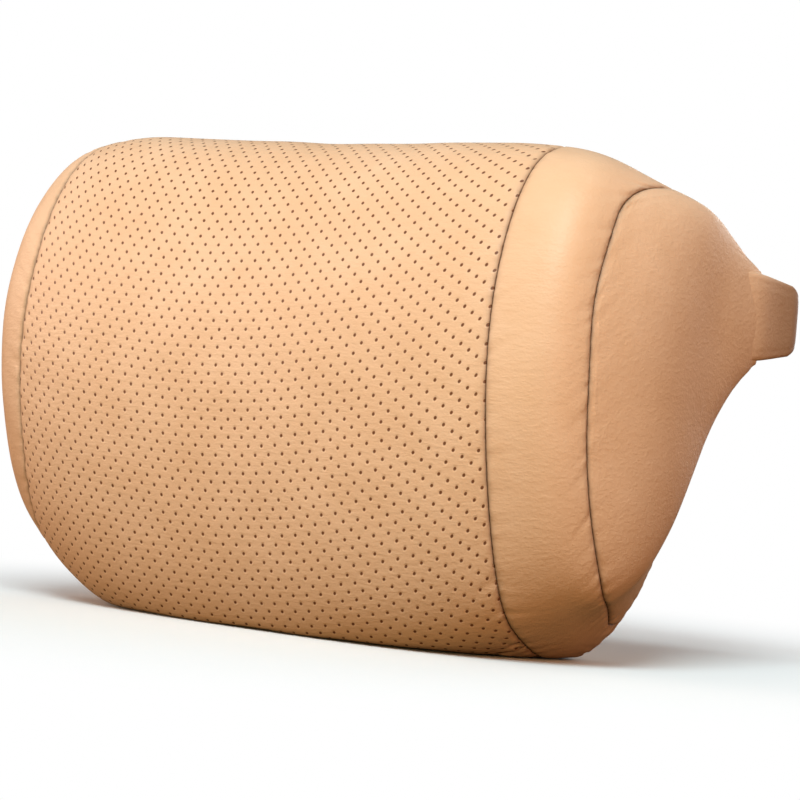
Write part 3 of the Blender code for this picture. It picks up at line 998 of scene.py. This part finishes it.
def stage_material():
    made, tree, shader = plain_material("studio floor", (0.84, 0.93, 1.0, 1), 0.8)
    out = tree.nodes["Material Output"]
    place = node(tree, "ShaderNodeTexCoord").outputs["Object"]
    reach = node(tree, "ShaderNodeVectorMath", operation="LENGTH")
    tree.links.new(place, reach.inputs[0])
    pale = node(tree, "ShaderNodeEmission")
    pale.inputs["Strength"].default_value = 1.0
    lit = node(tree, "ShaderNodeMixShader")
    tree.links.new(ramp(tree, reach.outputs["Value"], 0.10, 0.32), lit.inputs[0])
    tree.links.new(shader.outputs[0], lit.inputs[1])
    tree.links.new(pale.outputs[0], lit.inputs[2])
    dim = node(tree, "ShaderNodeBsdfDiffuse")
    dim.inputs["Color"].default_value = (0.14, 0.10, 0.055, 1)
    path = node(tree, "ShaderNodeLightPath")
    blend = node(tree, "ShaderNodeMixShader")
    tree.links.new(path.outputs["Is Camera Ray"], blend.inputs[0])
    tree.links.new(dim.outputs[0], blend.inputs[1])
    tree.links.new(lit.outputs[0], blend.inputs[2])
    tree.links.new(blend.outputs[0], out.inputs["Surface"])
    return made


def floor():
    bpy.ops.mesh.primitive_plane_add(size=60.0, location=(0, 0, -0.0005))
    made = bpy.context.object
    made.name = "floor"
    made.data.materials.append(stage_material())


def area_light(name, place, target, size, power, color):
    data = bpy.data.lights.new(name, "AREA")
    data.shape = "RECTANGLE"
    data.size = size[0]
    data.size_y = size[1]
    data.energy = power
    data.color = color
    made = bpy.data.objects.new(name, data)
    made.location = place
    made.rotation_euler = (Vector(target) - Vector(place)).to_track_quat("-Z", "Y").to_euler()
    bpy.context.scene.collection.objects.link(made)
    return made


def studio():
    world = bpy.data.worlds.new("studio")
    bpy.context.scene.world = world
    world.use_nodes = True
    tree = world.node_tree
    tree.nodes["Background"].inputs["Color"].default_value = (1, 0.98, 0.95, 1)
    tree.nodes["Background"].inputs["Strength"].default_value = 0.175
    seen = node(tree, "ShaderNodeBackground")
    seen.inputs["Color"].default_value = (1, 1, 1, 1)
    seen.inputs["Strength"].default_value = 1.0
    path = node(tree, "ShaderNodeLightPath")
    blend = node(tree, "ShaderNodeMixShader")
    tree.links.new(path.outputs["Is Camera Ray"], blend.inputs[0])
    tree.links.new(tree.nodes["Background"].outputs[0], blend.inputs[1])
    tree.links.new(seen.outputs[0], blend.inputs[2])
    tree.links.new(blend.outputs[0], tree.nodes["World Output"].inputs["Surface"])
    middle = (0, -0.03, 0.09)
    area_light("key", (0.58, -0.98, 1.36), middle, (0.9, 0.7), 26.0, (0.87, 1.0, 0.985))
    area_light("left", (-1.4, -0.7, 0.5), middle, (0.9, 0.9), 13.0, (1.0, 0.66, 0.52))
    area_light("low", (0.2, -1.7, 0.12), middle, (1.2, 0.5), 10.6, (1.0, 0.65, 0.26))
    area_light("right", (1.5, -0.4, 0.55), middle, (0.9, 0.9), 7.7, (1.0, 0.38, 0.12))
    area_light("rear", (-0.3, 1.6, 0.35), middle, (1.0, 0.6), 9.0, (1.0, 0.96, 0.92))


def camera():
    """Three-quarter view from the right, nearly level, slightly rolled, aimed beside the front panel."""
    azimuth, elevation, roll = math.radians(43.0), math.radians(-0.1), math.radians(4.6)
    yaw, pitch = math.radians(-2.9811), math.radians(0.2170)
    distance = 1.15
    centre = Vector(BODY_SHIFT * MM)
    right = Vector((math.cos(azimuth), math.sin(azimuth), 0))
    outward = math.cos(elevation)
    back = Vector((math.sin(azimuth) * outward, -math.cos(azimuth) * outward, math.sin(elevation)))
    up = back.cross(right)
    forward = -back * math.cos(yaw) - right * math.sin(yaw)
    level = right * math.cos(yaw) - back * math.sin(yaw)
    tilted_up = up * math.cos(pitch) + forward * math.sin(pitch)
    forward = forward * math.cos(pitch) - up * math.sin(pitch)
    image_right = level * math.cos(roll) + tilted_up * math.sin(roll)
    image_up = tilted_up * math.cos(roll) - level * math.sin(roll)
    data = bpy.data.cameras.new("camera")
    data.sensor_width = 36.0
    data.lens = 149.49
    data.clip_start = 0.01
    made = bpy.data.objects.new("camera", data)
    turn = Matrix((image_right, image_up, -forward)).transposed().to_4x4()
    made.matrix_world = Matrix.Translation(centre + back * distance) @ turn
    bpy.context.scene.collection.objects.link(made)
    bpy.context.scene.camera = made


camera()
padding()
padded_cover()
rear_cover()
for side, sign in (("right", 1.0), ("left", -1.0)):
    strap_tab(side, sign)
webbing()
zip_teeth()
grip_pad()
hard_fittings()
floor()
studio()
bpy.context.scene.view_settings.view_transform = "Standard"
bpy.context.view_layer.update()
